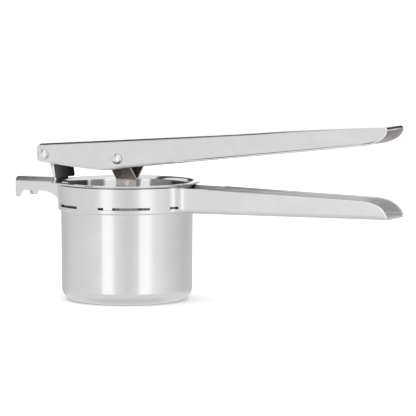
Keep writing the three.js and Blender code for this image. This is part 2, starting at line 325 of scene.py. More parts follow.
# ---- materials ----
class Nodes:
    """Short names for building a node tree."""

    def __init__(self, tree):
        self.tree = tree
        tree.nodes.clear()

    def add(self, kind, **settings):
        """A node with some of its inputs or properties set."""
        node = self.tree.nodes.new(kind)
        for key, value in settings.items():
            if key in node.inputs:
                node.inputs[key].default_value = value
            else:
                setattr(node, key, value)
        return node

    def link(self, source, target):
        self.tree.links.new(source, target)

    def split(self, vector):
        """X, Y and Z of a vector."""
        node = self.add("ShaderNodeSeparateXYZ")
        self.link(vector, node.inputs[0])
        return node.outputs

    def noise(self, place, **settings):
        node = self.add("ShaderNodeTexNoise", **settings)
        self.link(place, node.inputs["Vector"])
        return node.outputs["Fac"]

    def math(self, operation, a, b=None, clamp=False):
        """Result of a math node on numbers or sockets."""
        node = self.tree.nodes.new("ShaderNodeMath")
        node.operation = operation
        node.use_clamp = clamp
        for slot, value in zip(node.inputs, (a, b)):
            if value is None:
                continue
            if isinstance(value, (int, float)):
                slot.default_value = value
            else:
                self.link(value, slot)
        return node.outputs[0]

    def ramp(self, value, low, high, to_low=0.0, to_high=1.0, smooth=False):
        """Value mapped between two ranges and held at the ends."""
        node = self.tree.nodes.new("ShaderNodeMapRange")
        node.interpolation_type = "SMOOTHSTEP" if smooth else "LINEAR"
        node.clamp = True
        for slot, number in zip(node.inputs[1:5], (low, high, to_low, to_high)):
            slot.default_value = number
        self.link(value, node.inputs[0])
        return node.outputs[0]

    def stops(self, value, stops, scale=1.0):
        """Grey ramp through (place from 0 to 1, level) stops."""
        node = self.tree.nodes.new("ShaderNodeValToRGB")
        ramp = node.color_ramp
        for place, _ in stops[1:-1]:
            ramp.elements.new(place)
        for stop, (place, level) in zip(ramp.elements, stops):
            stop.position = place
            stop.color = (level / scale, level / scale, level / scale, 1)
        self.link(value, node.inputs[0])
        return node.outputs["Color"]

    def around(self, place, bars):
        """Grey level round the upright axis, from (degrees, level) pairs."""
        x, y, _ = self.split(place)
        turn = self.math("DIVIDE", self.math("ARCTAN2", y, x), 2 * math.pi)
        turn = self.math("FRACT", self.math("ADD", turn, 1 - bars[0][0] / 360))
        return self.stops(turn, [((angle - bars[0][0]) / 360, level) for angle, level in bars])

    def multiply(self, colour, level):
        """Colour darkened by a grey level."""
        node = self.add("ShaderNodeMix", data_type="RGBA", blend_type="MULTIPLY")
        node.inputs[0].default_value = 1.0
        self.link(colour, node.inputs[6])
        self.link(level, node.inputs[7])
        return node.outputs[2]


LINE_SHARE = 0.4  # part of the tone that follows the polishing lines
SPECK_SHARE = 0.25  # height of the fine specks against the lines
BUMP_DEPTH = 0.0002  # metres


def steel(name, tint, roughness, grain, streaks=0.02, haze=0.03, dark=0.06, metallic=1.0,
          bars=None, end_shade=None):
    """Polished stainless sheet.

    grain: stretch of the polishing lines along X, Y and Z (a small number is a long line).
    streaks: depth of the lines. haze: how much wiping marks roughen it. dark: tone variation.
    bars: (degrees round the basket, tone) of pale and dark bars up the wall, which paint reflection
    and shade into the colour.
    end_shade: (start, end, tone) along X in metres, where painted shade darkens a channel's inside.
    """
    material = bpy.data.materials.new(name)
    material.use_nodes = True
    n = Nodes(material.node_tree)
    shader = n.add("ShaderNodeBsdfPrincipled", Metallic=metallic)
    output = n.add("ShaderNodeOutputMaterial")
    n.link(shader.outputs[0], output.inputs[0])
    place = n.add("ShaderNodeTexCoord").outputs["Object"]

    stretched = n.add("ShaderNodeMapping", Scale=grain)
    n.link(place, stretched.inputs[0])
    lines = n.noise(stretched.outputs[0], Scale=1.0, Detail=4.0, Roughness=0.65)
    wipes = n.noise(place, Scale=38.0, Detail=5.0, Roughness=0.6, Distortion=0.8)
    specks = n.noise(place, Scale=900.0, Detail=2.0, Roughness=0.5)

    worn = n.ramp(wipes, 0.42, 0.68, 0.0, haze, smooth=True)
    lined = n.ramp(lines, 0.3, 0.7, -haze * 0.35, haze * 0.5)
    rough = n.math("ADD", n.math("ADD", worn, lined), roughness, clamp=True)
    n.link(rough, shader.inputs["Roughness"])

    tone = n.add("ShaderNodeMix", data_type="RGBA")
    tone.inputs[6].default_value = (*[t * (1 - dark) for t in tint], 1)
    tone.inputs[7].default_value = (*tint, 1)
    wiped = n.math("MULTIPLY", wipes, 1 - LINE_SHARE)
    mix = n.math("ADD", wiped, n.math("MULTIPLY", lines, LINE_SHARE))
    n.link(n.ramp(mix, 0.38, 0.62), tone.inputs[0])
    colour = tone.outputs[2]
    if bars:
        colour = n.multiply(colour, n.around(place, bars))
    if end_shade:
        start, end, level = end_shade
        colour = n.multiply(colour, n.ramp(n.split(place)[0], start, end, 1.0, level, smooth=True))
    n.link(colour, shader.inputs["Base Color"])

    height = n.math("ADD", lines, n.math("MULTIPLY", specks, SPECK_SHARE))
    bump = n.add("ShaderNodeBump", Strength=streaks, Distance=BUMP_DEPTH)
    n.link(height, bump.inputs["Height"])
    n.link(bump.outputs[0], shader.inputs["Normal"])
    return material


ROUND_GRAIN = (260.0, 260.0, 2400.0)
LONG_GRAIN = (14.0, 2400.0, 2400.0)
UP_GRAIN = (2200.0, 2200.0, 20.0)
FINE_GRAIN = (900.0, 900.0, 900.0)

# painted reflection: bars of what the polished inside of the basket mirrors, painted into its
# colour by the angle round from the handle's side
PAINTED_WALL_REFLECTION = [
    (25, 0.85), (36, 0.85), (40, 0.06), (70, 0.04), (75, 0.25), (94, 0.27), (96.5, 1.0),
    (103.5, 1.0), (106, 0.4), (125, 0.4), (127.5, 1.0), (136, 1.0), (138.5, 0.26), (151, 0.28),
    (152.5, 0.9), (153.5, 0.9), (155, 0.05), (181, 0.05), (187, 0.8), (205, 0.8), (212, 0.7),
    (238, 0.7), (244, 1.0), (254, 1.0), (262, 0.75), (290, 0.75), (298, 1.0), (312, 1.0),
    (320, 0.6), (350, 0.6), (362, 0.7), (385, 0.85),
]
# painted reflection and painted shade on the wall behind the ring, seen through its slots
SLOT_SHADE_AND_REFLECTION = [
    (270, 0.1), (284.5, 0.05), (286, 0.05), (287, 0.3), (290, 0.22), (291, 0.6), (294, 0.5),
    (298, 0.55), (300, 0.68), (302, 0.45), (304, 0.55), (306, 0.3), (307.2, 0.05), (308.4, 0.05),
    (309.4, 0.25), (311.5, 0.3), (312.5, 0.15), (313.8, 0.18), (315, 0.5), (322, 0.5), (324, 0.1),
    (334, 0.1), (335.5, 0.7), (342, 0.7), (343.5, 0.06), (360, 0.1), (630, 0.1),
]

BASKET_STEEL = steel("polished_basket", (0.83, 0.82, 0.835), 0.09, ROUND_GRAIN,
                     streaks=0.015, haze=0.05)
BAND_STEEL = steel("polished_frame", (0.835, 0.825, 0.84), 0.18, LONG_GRAIN, haze=0.05)
HANDLE_STEEL = steel("polished_handle", (0.82, 0.813, 0.827), 0.11, LONG_GRAIN, haze=0.04)
# inner faces of the upper handle and the pot rest: a rougher finish, and a darker tint that is
# painted shade
UNDER_SHADE_STEEL = steel("rough_inner_face_painted_shade", (0.55, 0.515, 0.52), 0.32, LONG_GRAIN,
                    streaks=0.05, haze=0.08, dark=0.2, metallic=0.6)
# inside of the lower handle's channel, with painted shade towards its tip
CHANNEL_STEEL = steel("polished_channel_inside", (0.86, 0.84, 0.845), 0.28, LONG_GRAIN,
                      streaks=0.04, haze=0.06, dark=0.12, metallic=0.55,
                      end_shade=(0.150, 0.166, 0.66))
BRACKET_STEEL = steel("polished_bracket", (0.80, 0.80, 0.81), 0.1, UP_GRAIN, streaks=0.015)
# plunger: a darker, warmer tint than the other steel, painted shade for where it sits under the
# handle and in the basket
PLUNGER_SHADED_STEEL = steel("plunger_steel", (0.54, 0.49, 0.465), 0.22, UP_GRAIN,
                      streaks=0.04, haze=0.06, dark=0.15, metallic=0.9)
HEM_STEEL = steel("rolled_edge", (0.93, 0.93, 0.94), 0.16, LONG_GRAIN, streaks=0.01)
# inside of the basket: painted reflection, the mirrored bars painted into a mostly diffuse colour
INNER_WALL_REFLECTION = steel("basket_inside_painted_reflection", (0.95, 0.945, 0.945), 0.25, ROUND_GRAIN,
                   haze=0.05, metallic=0.2, bars=PAINTED_WALL_REFLECTION)
# near-black painted shade on the bracket's inner faces above the rim
BRACKET_SHADE = steel("bracket_inside_painted_shade", (0.011, 0.0105, 0.010), 0.35, UP_GRAIN,
                       haze=0.05, dark=0.1)
# stems of the straps: a tint darkened as painted shade
STEM_SHADED_STEEL = steel("plunger_stem_painted_shade", (0.60, 0.565, 0.55), 0.2, UP_GRAIN,
                   streaks=0.05, haze=0.06, dark=0.15, metallic=0.6)
# near-black painted shade on the straps' inner faces
PLUNGER_SHADE = steel("plunger_inside_painted_shade", (0.13, 0.10, 0.095), 0.25, UP_GRAIN,
                       streaks=0.04, haze=0.06, dark=0.15, metallic=0.9)
# painted shade, with painted reflection bars, on the wall hidden behind the ring
SHADED_STEEL = steel("shaded_wall", (0.60, 0.57, 0.58), 0.15, ROUND_GRAIN,
                     haze=0.05, bars=SLOT_SHADE_AND_REFLECTION)
RIVET_STEEL = steel("rivet_head", (0.85, 0.85, 0.86), 0.09, FINE_GRAIN, streaks=0.01)


def finish_piece(obj, body, slot, materials, *nodes):
    """Materials, body and the nodes it stands for; the slot is not used."""
    obj.data.materials.clear()
    for material in materials:
        obj.data.materials.append(material)
    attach(obj, body)
    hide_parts(*nodes)


# ---- basket ----
FLAT_RADIUS = BOTTOM_RADIUS - CORNER
UNDER_RIM = HEIGHT - WALL
WALL_LOW = CORNER
WALL_HIGH = UNDER_RIM - RIM_FILLET
LIP = WALL / 2  # radius of the rim's rounded edge
RIM_FLAT = RIM_RADIUS - LIP - 0.2  # where the rim's flat part ends
RING_SPAN = RING_BOTTOM + 0.9, RING_TOP - 0.9  # the wall behind the ring
BRIGHT_PATCH = (276.0, 284.0)  # degrees where light reaches the wall behind the long slot


def basket_wall(foot, fractions):
    """Points up the slightly flared wall."""
    return [(foot + (TOP_RADIUS - BOTTOM_RADIUS) * f, WALL_LOW + (WALL_HIGH - WALL_LOW) * f)
            for f in fractions]


def hole_cutter():
    """Round pins where the floor's holes go."""
    pins, faces = [], []
    sides = 20
    for ring in range(1, HOLE_RINGS + 1):
        count = HOLES_PER_RING * ring
        for i in range(count):
            turn = (i + ring / 2) * 2 * math.pi / count
            cx, cy = ring * HOLE_PITCH * math.cos(turn), ring * HOLE_PITCH * math.sin(turn)
            start = len(pins)
            for z in (-1, WALL + 1):
                pins += [(x, y, z) for x, y in arc(cx, cy, HOLE_RADIUS, 0, 360, sides)[:-1]]
            faces.append(tuple(range(start + sides - 1, start - 1, -1)))
            faces.append(tuple(range(start + sides, start + 2 * sides)))
            for k in range(sides):
                after = (k + 1) % sides
                faces.append((start + k, start + after, start + sides + after, start + sides + k))
    return mesh_object("hole_cutter", pins, faces)


def make_basket():
    rim_centre = TOP_RADIUS + RIM_FILLET
    behind_ring = [(z - WALL_LOW) / (WALL_HIGH - WALL_LOW) for z in RING_SPAN]
    stops = [0.01, 0.25, 0.5, *behind_ring, 0.99]
    outside = [(0.0, 0.0), (FLAT_RADIUS * 0.5, 0.0), (FLAT_RADIUS - BEND_MARGIN, 0.0)]
    outside += arc(FLAT_RADIUS, CORNER, CORNER, -90, 0, 16)
    outside += basket_wall(BOTTOM_RADIUS, stops)
    outside += arc(rim_centre, WALL_HIGH, RIM_FILLET, 180, 90, 8)
    outside += [(RIM_FLAT, UNDER_RIM)]
    rim = arc(RIM_RADIUS - LIP, UNDER_RIM + LIP, LIP, -90, 90, 8)
    inside = [(RIM_FLAT, HEIGHT)]
    inside += arc(rim_centre, WALL_HIGH, RIM_FILLET + WALL, 90, 180, 10)
    inside += basket_wall(BOTTOM_RADIUS - WALL, (0.99, 0.75, 0.5, 0.25, 0.01))
    inside += arc(FLAT_RADIUS, CORNER, CORNER - WALL, 0, -90, 16)
    inside += [(FLAT_RADIUS - BEND_MARGIN, WALL), (FLAT_RADIUS * 0.5, WALL), (0.0, WALL)]
    obj = lathe_object("basket_shell", outside + rim + inside, 180)
    boolean(obj, hole_cutter(), "DIFFERENCE")
    soften(obj, 0.12, segments=1, angle=60)
    finish_piece(obj, "frame", "polished_steel", [BASKET_STEEL, SHADED_STEEL, INNER_WALL_REFLECTION], "basket")
    part_basket_faces(obj)


def part_basket_faces(obj):
    """Painted shade and painted reflection on the wall behind the ring, and painted reflection on
    the inside.
    """
    outer_skin = TOP_RADIUS - 0.5
    rim_start = HEIGHT - 2.2
    for face in obj.data.polygons:
        x, y, z = face.center / MM
        radius = math.hypot(x, y)
        looks_in = face.normal.x * x + face.normal.y * y < -0.6 * radius
        # painted shade behind the ring, but for the lit patch behind the long slot
        if RING_BOTTOM + 1 < z < RING_TOP - 1 and radius > outer_skin:
            lit = BRIGHT_PATCH[0] < math.degrees(math.atan2(y, x)) % 360 < BRIGHT_PATCH[1]
            face.material_index = 0 if lit else 1
        # painted reflection on the inside faces below the rim
        elif z < rim_start and looks_in:
            face.material_index = 2


# ---- ring and lower handle ----
LOWER_BEND = 3.0
SCOOP = 18.8  # length of the scooped end
SCOOP_START = (LOWER_TIP - SCOOP, RING_TOP - 3.4)
WEB_RISE = 1.2  # of the handle's underside, from the ring to the tip
LOWER_TOP = [(-RING_RADIUS, RING_TOP), (30, RING_TOP), (44, RING_TOP - 0.15),
             (63, RING_TOP - 0.45), (110, RING_TOP - 1.8), SCOOP_START]


def lower_web(x):
    """Height of the pressing's underside."""
    rise = max(0.0, x - RING_RADIUS) / (LOWER_TIP + 1 - RING_RADIUS)
    return RING_BOTTOM + rise * WEB_RISE


LOWER_SCOOP = curve((LOWER_TIP, lower_web(LOWER_TIP) + 0.35), (LOWER_TIP - 2.2, RING_TOP - 4.0),
                    SCOOP_START, 30)


def path_place(distance):
    """Point, outward direction and depth of the root fillet at a distance along the near wall.

    Distance 0 is where the fillet meets the ring; it grows round the ring and is negative in the
    fillet.
    """
    if distance < 0:
        turn = math.radians(90) + (ROOT_ARC + distance) / ROOT_FILLET
        along = ROOT_ALONG + ROOT_FILLET * math.cos(turn)
        across = -ROOT_ACROSS + ROOT_FILLET * math.sin(turn)
        return (along, across), (-math.cos(turn), -math.sin(turn)), (ROOT_ARC + distance) / ROOT_ARC
    a = ROOT_LEAN + distance / RING_RADIUS
    out = (math.cos(a), -math.sin(a))
    return (RING_RADIUS * out[0], RING_RADIUS * out[1]), out, 1.0


def slot_span(low, high):
    """Distances of a slot's ends; low and high are degrees from the near side to the handle."""
    first, last = [(math.radians(90 - angle) - ROOT_LEAN) * RING_RADIUS for angle in (high, low)]
    return first * SLOT_STRETCH if first < 0 else first, last


def slot_reach(distance):
    """How far a slot is open here, 0 to 1, or None where there is none."""
    for low, high in SLOT_SPANS:
        first, last = slot_span(low, high)
        if first - 1e-6 <= distance <= last + 1e-6:
            inward = min(distance - first, last - distance) / SLOT_END
            return math.sqrt(max(0.0, 1 - (1 - min(max(inward, 0.0), 1.0)) ** 2))
    return None


def path_distances():
    """Places along the near wall, from the fillet to the pivot side."""
    ends = set()
    for low, high in SLOT_SPANS:
        first, last = slot_span(low, high)
        for part in (0.0, 0.134, 0.5, 1.0):
            ends |= {round(first + SLOT_END * part, 4), round(last - SLOT_END * part, 4)}
    whole = (math.pi - ROOT_LEAN) * RING_RADIUS
    plain = spread(-ROOT_ARC, 0, 0.8)[1:] + spread(0, whole, 1.5)[1:]
    plain = [d for d in plain if all(abs(d - e) > 0.2 for e in ends)]
    return sorted(ends | set(plain))


def station(wall, out, inner, bend=LOWER_BEND, top=None, opened=None):
    """Place along the pressing: wall point, outward direction, where its web ends, and its cut."""
    top = smooth_line(LOWER_TOP, wall[0]) if top is None else top
    return {"wall": wall, "out": out, "inner": inner, "bend": bend, "top": top, "opened": opened}


def lower_stations():
    """Places along the near half of the pressing, from the handle's tip to the pivot side."""
    handle = LOWER_SCOOP + [(x, None) for x in spread(LOWER_TIP - SCOOP, ROOT_ALONG, 3.0)[1:]]
    stations = [station((x, -LOWER_HALF), (0, -1), (x, 0), top=top) for x, top in handle]
    straight = ROOT_ALONG - LIP_RADIUS
    total = straight + LIP_RADIUS * ROOT_LEAN
    for distance in path_distances():
        wall, out, depth = path_place(distance)
        gone = depth * total
        if distance >= 0:
            inner = (LIP_RADIUS * out[0], LIP_RADIUS * out[1])
        elif gone < straight:
            inner = (ROOT_ALONG - gone, 0.0)
        else:
            a = (gone - straight) / LIP_RADIUS
            inner = (LIP_RADIUS * math.cos(a), -LIP_RADIUS * math.sin(a))
        bend = LOWER_BEND + (LIP_BEND - LOWER_BEND) * depth
        stations.append(station(wall, out, inner, bend, opened=slot_reach(distance)))
    return stations


def pressing_row(place, fractions, slot_rows):
    """Points across the pressing at a station, from the wall's top edge to the web's end."""
    x, y = place["wall"]
    section = half_section(place["top"] - lower_web(x), 0.0, place["bend"], fractions, 6, [])
    row = []
    for offset, rise in section:
        px, py = x + place["out"][0] * offset, y + place["out"][1] * offset
        row.append([px, py, lower_web(px) + rise])
    bx, by, _ = row[-1]
    for f in (0.3, 1.0):
        px, py = bx + (place["inner"][0] - bx) * f, by + (place["inner"][1] - by) * f
        row.append([px, py, lower_web(px)])
    if place["opened"] is not None:
        middle = (SLOT_LOW + SLOT_HIGH) / 2
        high, low = slot_rows
        row[high][2] = middle + place["opened"] * (SLOT_HIGH - middle)
        row[low][2] = middle - place["opened"] * (middle - SLOT_LOW)
    return row


def make_lower_frame():
    stations = lower_stations()
    straight_wall = RING_TOP - RING_BOTTOM - LIP_BEND
    slot_low = (SLOT_LOW - RING_BOTTOM - LIP_BEND) / straight_wall
    slot_high = (SLOT_HIGH - RING_BOTTOM - LIP_BEND) / straight_wall
    fractions = [1.0, 0.97, 0.75, 0.5, slot_high, slot_low, 0.03, 0.0]
    slot_rows = fractions.index(slot_high), fractions.index(slot_low)
    rows = [pressing_row(place, fractions, slot_rows) for place in stations]
    cut = [place["opened"] is not None for place in stations]
    rows += [[[px, -py, pz] for px, py, pz in row] for row in reversed(rows[:-1])]
    cut += list(reversed(cut[:-1]))

    def skip(i, j):
        return j == slot_rows[0] and cut[i] and cut[i + 1]

    obj = grid_object("frame_pressing", rows, skip)
    face_towards(obj, (100, -200, 65))
    thicken(obj)
    soften(obj)
    finish_piece(obj, "frame", "handle_steel", [BAND_STEEL, CHANNEL_STEEL], "lower_frame")


# ---- upper handle ----
UPPER_LEFT = UPPER_LOW[0]
UPPER_TIP = UPPER_HIGH[0]
TIP_CORNER = 1.3
TIP_HEIGHT = UPPER_HIGH[2] - TIP_CORNER
UPPER_TOP = [(-52.4, 98.5), (-0.5, 102.05), (84, 108.05), (124, 111.35),
             (UPPER_TIP - TIP_CORNER, UPPER_HIGH[2] - 0.05), (UPPER_TIP, TIP_HEIGHT)]
UPPER_UNDER = [(-52.4, 86.5), (-46.5, 86.0), (-33, 84.6), (-17, 83.3), (-6, 83.05), (7, 85.0),
               (41, 89.0), (84, 93.9), (124, 98.4), (163.5, 103.2)]
UPPER_SCOOP = curve(UPPER_UNDER[-1], (180.6, 104.3), (UPPER_TIP, TIP_HEIGHT - 0.3), 30)
UPPER_BEND = 1.3
UPPER_INSET = 0.4  # of the wall from the CAD's, which leaves room for the flare
LEFT_CORNER = 4.8
LEFT_SHOULDER = 96.4
LEFT_CHIN = 89.6
SHOULDER_POWER, CHIN_POWER = 4, 2.2  # a higher power makes a squarer corner


def upper_stations():
    """(x, top, underside) along the upper handle."""
    left = []
    steps = 14
    for i in range(steps + 1):
        x = UPPER_LEFT + LEFT_CORNER * (1 - math.cos(math.pi / 2 * i / steps))
        u = (UPPER_LEFT + LEFT_CORNER - x) / LEFT_CORNER
        top = LEFT_SHOULDER + (UPPER_TOP[0][1] - LEFT_SHOULDER) * (1 - u ** SHOULDER_POWER)
        drop = max(0.0, 1 - u ** CHIN_POWER) ** (1 / CHIN_POWER)
        left.append((x, top, LEFT_CHIN - (LEFT_CHIN - UPPER_UNDER[0][1]) * drop))
    middle = [(x, smooth_line(UPPER_TOP, x), smooth_line(UPPER_UNDER, x))
              for x in spread(UPPER_LEFT + LEFT_CORNER, UPPER_UNDER[-1][0], 2.5)[1:]]
    right = [(x, smooth_line(UPPER_TOP, x), under) for x, under in UPPER_SCOOP[1:]]
    return left + middle + right


def make_upper_handle():
    half = UPPER_HALF - UPPER_INSET
    wall = [1.0, 0.94, 0.86, 0.6, 0.3, 0.03, 0.0]
    flare = {0: 0.35, 1: 0.12}  # outwards at the free edge and at the next row
    rows = []
    for x, top, under in upper_stations():
        section = half_section(top - under, half, UPPER_BEND, wall, 6, WEB_PARTS)
        left_fade = (x - UPPER_LEFT - LEFT_CORNER) / 10
        fade = min(1.0, max(0.0, min(left_fade, (UPPER_TIP - 5 - x) / 12)))
        rows.append([(x, -(y + flare.get(k, 0.0) * fade), top - d)
                     for k, (y, d) in enumerate(section)])
    obj = channel_sheet("handle_pressing", rows)
    face_towards(obj, (60, -300, 100))
    thicken(obj)
    soften(obj)
    finish_piece(obj, "handle", "handle_steel", [HANDLE_STEEL, UNDER_SHADE_STEEL], "upper_handle")


# ---- rolled hems along the handles' free edges ----
HEM = 0.72  # radius
HEM_INSET = 0.05


def tube_object(name, path, radius, sides=12):
    """Round bar along a path at constant Y, with domed ends."""
    rows = []
    last = len(path) - 1
    across = Vector((0, 1, 0))
    for i, point in enumerate(path):
        here = Vector(point)
        before, after = path[max(i - 1, 0)], path[min(i + 1, last)]
        along = Vector((after[0] - before[0], 0, after[2] - before[2])).normalized()
        up = along.cross(across)
        rows.append([here + radius * (math.cos(t) * across + math.sin(t) * up)
                     for t in (2 * math.pi * k / sides for k in range(sides))])
        if i in (0, last):
            ends = []
            for turn in (30, 60, 85):
                a = math.radians(turn)
                push = along * radius * math.sin(a) * (-1 if i == 0 else 1)
                ends.append([here + (p - here) * math.cos(a) + push for p in rows[-1]])
            rows = list(reversed(ends)) + rows if i == 0 else rows + ends
    points = [p for row in rows for p in row]
    faces = [tuple(range(sides)), tuple(range(len(points) - 1, len(points) - sides - 1, -1))]
    for i in range(len(rows) - 1):
        for k in range(sides):
            a, b = i * sides + k, i * sides + (k + 1) % sides
            faces.append((a, a + sides, b + sides, b))
    obj = mesh_object(name, points, faces)
    weld(obj, 0.001)
    return obj


def make_hems():
    upper_edge = [(x, z) for x, z in UPPER_UNDER if x > 40] + UPPER_SCOOP[1:]
    lower_edge = LOWER_SCOOP[:-1] + [(x, z) for x, z in reversed(LOWER_TOP) if x > 62]
    low, high = lower_web(LOWER_TIP) + 2.0, UPPER_HIGH[2] - 3.2
    for handle, edge, body, half, lift in (("upper", upper_edge, "handle", UPPER_HALF, 0.5),
                                           ("lower", lower_edge, "frame", LOWER_HALF, -0.5)):
        tip = max(x for x, _ in edge) - HEM
        for side, sign in (("near", -1), ("far", 1)):
            y = sign * (half - SHEET / 2 - HEM_INSET)
            path = [(min(x, tip) - HEM_INSET, y, z + lift) for x, z in edge if low < z < high]
            path = [p for i, p in enumerate(path) if i == 0 or math.dist(p, path[i - 1]) > 0.05]
            obj = tube_object(f"{handle}_hem_{side}", path, HEM)
            finish_piece(obj, body, "handle_steel", [HEM_STEEL])


# ---- pot rest ----
REST_BEND = 3.4
TOOTH_FOOT = REST_LOW[2]
REST_EDGE = 67.8  # height of the flange's edge between the teeth
BIG_TOOTH = REST_LOW[0] + 2.0  # middle of the tooth at the outer end
BIG_TOOTH_HALF = 2.0
BIG_TOOTH_END = REST_LOW[0] + 7.4
SMALL_TOOTH = REST_LOW[0] + 14.7
SMALL_TOOTH_HALF, SMALL_TOOTH_DROP = 2.2, 2.8
REST_CURVE_START, REST_CURVE_END = -56.5, -44.3


def rest_under(x):
    """Height of the flange's lower edge, with its two teeth."""
    if x < BIG_TOOTH + BIG_TOOTH_HALF:
        rise = max(0.0, BIG_TOOTH_HALF ** 2 - (x - BIG_TOOTH) ** 2)
        return TOOTH_FOOT + BIG_TOOTH_HALF - math.sqrt(rise)
    if x < BIG_TOOTH_END:
        t = (x - BIG_TOOTH - BIG_TOOTH_HALF) / (BIG_TOOTH_END - BIG_TOOTH - BIG_TOOTH_HALF)
        climb = REST_EDGE - TOOTH_FOOT - BIG_TOOTH_HALF
        return TOOTH_FOOT + BIG_TOOTH_HALF + climb * math.sin(t * math.pi / 2) ** 0.8
    if abs(x - SMALL_TOOTH) < SMALL_TOOTH_HALF:
        t = (x - SMALL_TOOTH) / SMALL_TOOTH_HALF
        return REST_EDGE - SMALL_TOOTH_DROP * math.cos(t * math.pi / 2) ** 0.7
    if x < REST_CURVE_START:
        return REST_EDGE
    t = (x - REST_CURVE_START) / (REST_CURVE_END - REST_CURVE_START)
    return REST_EDGE - 4.0 * t ** 2.6 - 0.8 * t


def make_pot_rest():
    left, right = REST_LOW[0], REST_HIGH[0] - 0.15
    web_end = PLATE_BACK - 0.4
    half, top = REST_HIGH[1], REST_HIGH[2]
    wall = [1.0, 0.9, 0.6, 0.3, 0.05, 0.0]
    xs = [left]
    for end, step in ((left + 8, 0.25), (left + 18, 0.3), (web_end, 0.8), (right, 0.7)):
        xs += spread(xs[-1], end, step)[1:]
    rows = []
    for x in xs:
        section = half_section(top - rest_under(x), half, REST_BEND, wall, 10, WEB_PARTS)
        rows.append([(x, -y, top - d) for y, d in section])
    keep = len(wall) - 1
    width = 2 * len(rows[0]) - 1

    def skip(i, j):
        return xs[i] > web_end - 0.01 and keep <= j < width - 1 - keep

    obj = channel_sheet("pot_rest_pressing", rows, skip)
    face_towards(obj, (-60, 0, 200))
    thicken(obj)
    soften(obj)
    finish_piece(obj, "frame", "handle_steel", [HANDLE_STEEL, UNDER_SHADE_STEEL], "pot_rest")


# ---- pivot bracket ----
PLATE_RADIUS = 46.0  # inner face at the foot of the wings
PLATE_LEAN = 1.4  # how far the wings lean out up to their top
PLATE_CLEAR = 47.1  # inner face where the tongue passes the rim
PLATE_BACK = -(PLATE_CLEAR + SHEET)
TONGUE = 8.2  # half width
WING = BRACKET_HIGH[1]  # half width
WING_BOTTOM = 76.1
WING_TOP = 85.3
WING_ROUND = 0.72  # how much narrower the wings are at their top and foot
EAR_RADIUS = 4.7
EAR_FACE = UPPER_HALF - SHEET - GAP  # outer face of the bracket's and the plunger's ears
TONGUE_FOOT = RING_RADIUS + GAP
# inner face of the tongue, as (radius, height): up the ring, out round the rim and in again
TONGUE_LINE = (
    [(TONGUE_FOOT, BRACKET_LOW[2])]
    + curve((TONGUE_FOOT, 67.6), (TONGUE_FOOT + 0.3, 70), (PLATE_RADIUS, 71.4), 5)
    + curve((PLATE_RADIUS, 71.4), (PLATE_CLEAR, 72.4), (PLATE_CLEAR, 73.6), 4)[1:]
    + curve((PLATE_CLEAR, 75.4), (PLATE_CLEAR - 0.1, 76.8), (PLATE_RADIUS + 0.45, 78.3), 5)
)


def arc_row(radius, half_width, z, steps):
    """Points at one height across the pivot side, round the upright axis."""
    span = math.asin(half_width / radius)
    turns = [span * (2 * j / steps - 1) for j in range(steps + 1)]
    return [(-radius * math.cos(t), radius * math.sin(t), z) for t in turns]


def make_wings():
    rows = []
    steps = 8
    for i in range(steps + 1):
        f = i / steps
        narrowing = WING_ROUND * (1 - min(1.0, math.sin(math.pi * f) * 4))
        z = WING_BOTTOM + (WING_TOP - WING_BOTTOM) * f
        rows.append(arc_row(PLATE_RADIUS + PLATE_LEAN * f, WING - narrowing, z, 22))
    wings = grid_object("wings", rows)
    face_inwards(wings)
    thicken(wings)
    apply_modifiers(wings)
    return wings


def make_pivot_bracket():
    shell = grid_object("bracket_pressing", [arc_row(r, TONGUE, z, 14) for r, z in TONGUE_LINE])
    face_inwards(shell)
    thicken(shell)
    apply_modifiers(shell)
    boolean(shell, make_wings(), "UNION")

    ear = arc(PIVOT[0], PIVOT[1], EAR_RADIUS, 10, 260, 26)
    ear += [(-48.4, WING_TOP + 0.8), (-46.0, WING_BOTTOM + 0.9), (-45.2, WING_BOTTOM + 0.9),
            (-46.9, WING_TOP - 0.4)]
    for low in (EAR_FACE - SHEET, -EAR_FACE):
        boolean(shell, prism("ear", ear, low, low + SHEET), "UNION")
    weld(shell, 0.02)
    soften(shell, 0.2, angle=45)
    finish_piece(shell, "frame", "polished_steel", [BRACKET_STEEL, BRACKET_SHADE], "pivot_bracket")
    # painted shade: faces above the rim that look in towards the axis take the near-black steel
    for face in shell.data.polygons:
        x, y, z = face.center / MM
        if z > HEIGHT and face.normal.x * x + face.normal.y * y < -0.7 * math.hypot(x, y):
            face.material_index = 1


# ---- rivets ----
def dome(radius, height, steps):
    """Half section of a domed head, from its edge to its middle."""
    return [(radius * math.cos(math.pi / 2 * i / steps), height * math.sin(math.pi / 2 * i / steps))
            for i in range(steps + 1)]


def make_handle_rivet(name, node, place):
    """Rivet across the handle, with a domed head outside each wall."""
    head, rise, foot, shank = 3.35, 1.15, 0.2, 2.0
    face = UPPER_HALF + GAP
    half = [(shank, 0.0), (shank, face - 0.1), (head - 0.15, face), (head, face + 0.08)]
    half += [(r, face + foot + z) for r, z in dome(head, rise, 8)]
    profile = [(r, -y) for r, y in reversed(half)] + half[1:]
    obj = lathe_object(name, profile, 40)
    move_points(obj, lambda x, y, z: (x + place[0] * MM, z, y + place[1] * MM))
    finish_piece(obj, "handle", "rivet_steel", [RIVET_STEEL], node)


def make_foot_rivets():
    shank, foot, chamfer = 1.5, 0.15, 0.15
    for i in range(1, 5):
        low, high = millimetres(f"foot_rivet_{i}")
        centre = ((low[0] + high[0]) / 2, (low[1] + high[1]) / 2)
        head = (high[0] - low[0]) / 2
        face = high[2] - 1.0
        profile = [(0, low[2]), (shank - chamfer, low[2]), (shank, low[2] + chamfer), (shank, face)]
        profile += [(head, face)] + [(r, face + foot + z) for r, z in dome(head, 0.8, 6)]
        obj = lathe_object(f"foot_rivet_head_{i}", profile, 28, centre)
        finish_piece(obj, "plunger", "rivet_steel", [RIVET_STEEL], f"foot_rivet_{i}")


